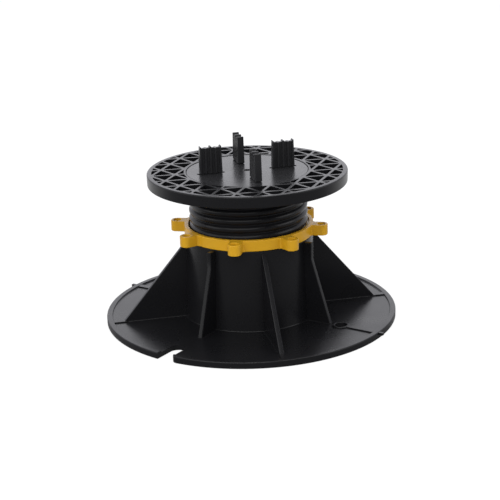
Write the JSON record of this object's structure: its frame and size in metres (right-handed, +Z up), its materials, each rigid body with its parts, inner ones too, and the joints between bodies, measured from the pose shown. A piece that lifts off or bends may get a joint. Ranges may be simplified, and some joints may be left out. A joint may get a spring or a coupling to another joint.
{
  "type": "adjustable decking pedestal",
  "caption": "Height-adjustable plastic decking pedestal: finned round base, lock ring, threaded head plate with triangular grid, and a disc with joint spacer tabs.",
  "frame": {"origin": "centre of the base's flat underside, on the screw's axis", "axes": "+Z up along the screw's axis; four short fins stand over the X and Y axes, the two fixing holes and rim tongues lie on the Y axis, and the two rim notches lie 1.65 degrees off the X axis"},
  "size_m": [0.1998, 0.206, 0.1217],
  "materials": {
    "black_moulding": "satin black moulded polypropylene",
    "yellow_moulding": "satin golden yellow moulded polypropylene"
  },
  "bodies": {
    "base": {"base": "black_moulding"},
    "lock_ring": {"lock_ring": "yellow_moulding"},
    "spacer": {"spacer_disc": "black_moulding", "spacer_tab_1": "black_moulding", "spacer_tab_2": "black_moulding", "spacer_tab_3": "black_moulding", "spacer_tab_4": "black_moulding"},
    "head": {"screw_head": "black_moulding"}
  },
  "joints": [
    {"name": "height", "type": "slide", "parent": "base", "child": "spacer", "axis": [0, 0, 1], "range_m": [-0.021, 0.0268]},
    {"name": "head_turn", "type": "hinge", "parent": "spacer", "child": "head", "pos_m": [0, 0, 0.1032], "axis": [0, 0, 1], "range_deg": [-1380, 1760]},
    {"name": "ring_turn", "type": "hinge", "parent": "base", "child": "lock_ring", "pos_m": [0, 0, 0.063], "axis": [0, 0, 1], "range_deg": [0, 20]}
  ],
  "couplings": [
    {"joint": "head_turn", "follows": "height", "rad_per_m": 1142.4}
  ]
}
